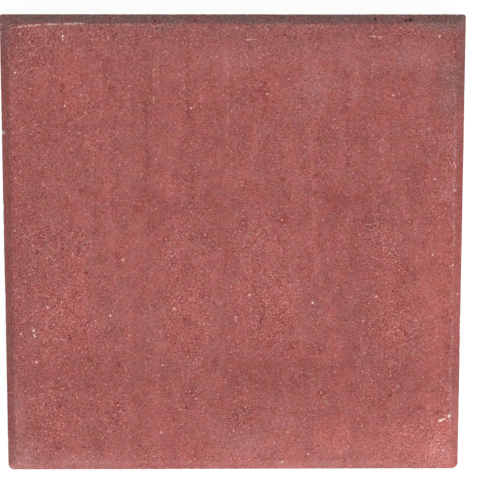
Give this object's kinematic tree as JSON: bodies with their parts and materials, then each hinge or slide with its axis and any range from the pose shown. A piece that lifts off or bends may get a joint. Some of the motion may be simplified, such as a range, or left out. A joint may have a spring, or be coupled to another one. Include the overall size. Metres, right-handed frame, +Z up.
{
  "type": "concrete paving slab",
  "caption": "Square red concrete paving slab with a flat walking face, a bevelled arris all round, rounded corners and a flat bed, laid on sand or mortar to pave paths and patios.",
  "frame": {"origin": "middle of the bed, the underside that lies on the ground", "axes": "+Z up through the walking face, X along the slab's length, Y across its width; +Y is the edge at the top of the picture"},
  "size_m": [0.4, 0.4, 0.04],
  "materials": {
    "red_concrete": "matt, fine sandy grain"
  },
  "bodies": {
    "root": {"paving_slab": "red_concrete"}
  },
  "joints": []
}
